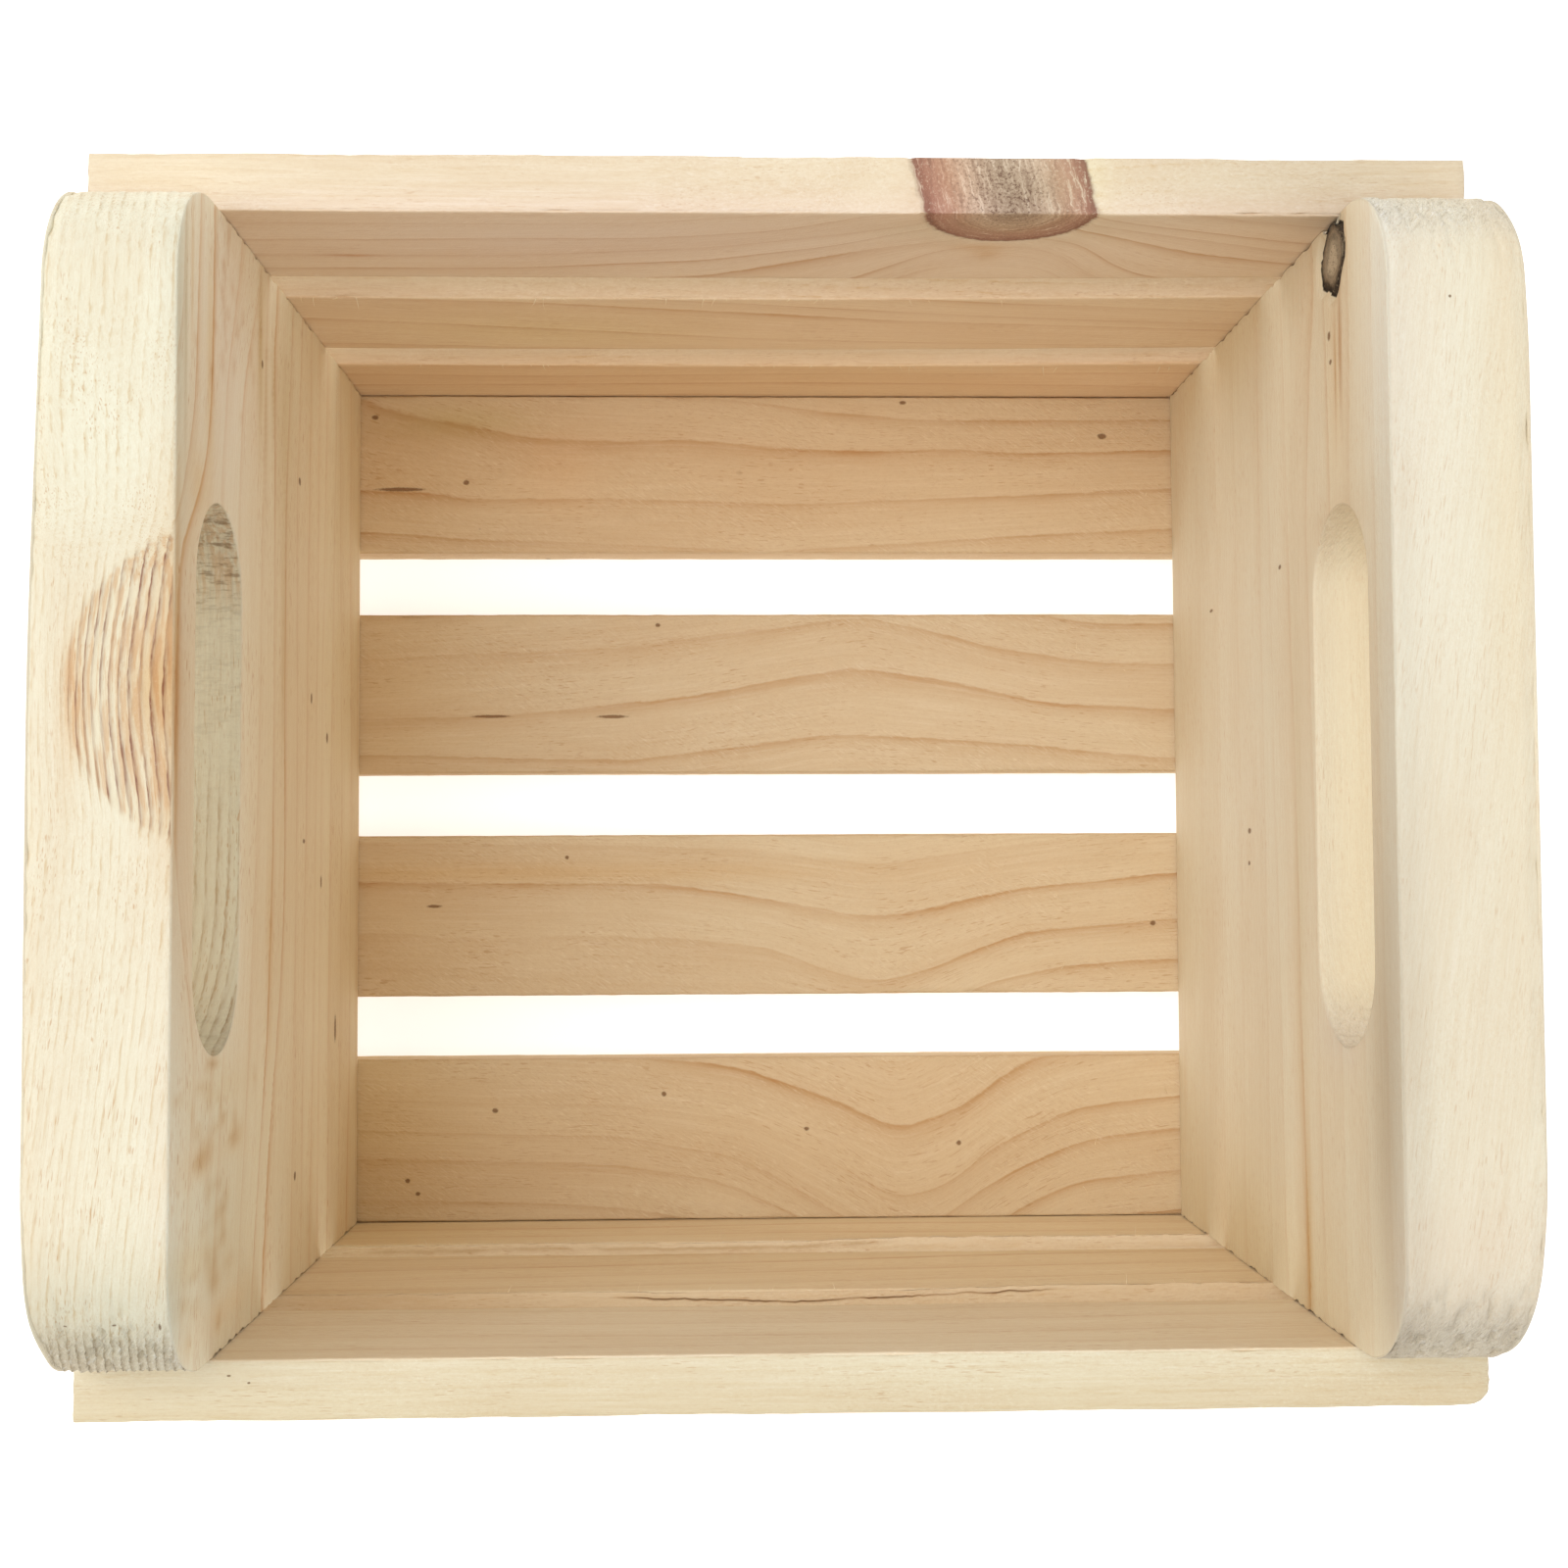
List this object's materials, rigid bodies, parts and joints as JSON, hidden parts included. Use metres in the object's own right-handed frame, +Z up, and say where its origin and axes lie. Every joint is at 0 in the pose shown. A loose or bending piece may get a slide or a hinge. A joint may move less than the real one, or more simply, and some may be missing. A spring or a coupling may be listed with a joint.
{
  "type": "wooden apple crate",
  "caption": "Small open-topped slatted pine crate with solid end boards, a rounded hand slot in each end, and spaced side and bottom slats.",
  "frame": {"origin": "on the resting surface, under the middle of the crate", "axes": "+X along the crate, square to the end boards, towards the right one; +Y towards the back wall; +Z up"},
  "size_m": [0.2, 0.1804, 0.1385],
  "materials": {
    "pine_board": "bare sanded pine, unfinished",
    "pine_slat": "bare sawn pine, unfinished",
    "nail_steel": "bright wire nail"
  },
  "bodies": {
    "root": {"left_end_panel": "pine_board", "right_end_panel": "pine_board", "floor_slat_1": "pine_slat", "floor_slat_2": "pine_slat", "floor_slat_3": "pine_slat", "floor_slat_4": "pine_slat", "back_bottom_slat": "pine_slat", "back_middle_slat": "pine_slat", "back_top_slat": "pine_slat", "front_bottom_slat": "pine_slat", "front_middle_slat": "pine_slat", "front_top_slat": "pine_slat", "floor_slat_1_nails": "nail_steel", "floor_slat_2_nails": "nail_steel", "floor_slat_3_nails": "nail_steel", "floor_slat_4_nails": "nail_steel", "back_bottom_slat_nails": "nail_steel", "back_middle_slat_nails": "nail_steel", "back_top_slat_nails": "nail_steel", "front_bottom_slat_nails": "nail_steel", "front_middle_slat_nails": "nail_steel", "front_top_slat_nails": "nail_steel"}
  },
  "joints": []
}
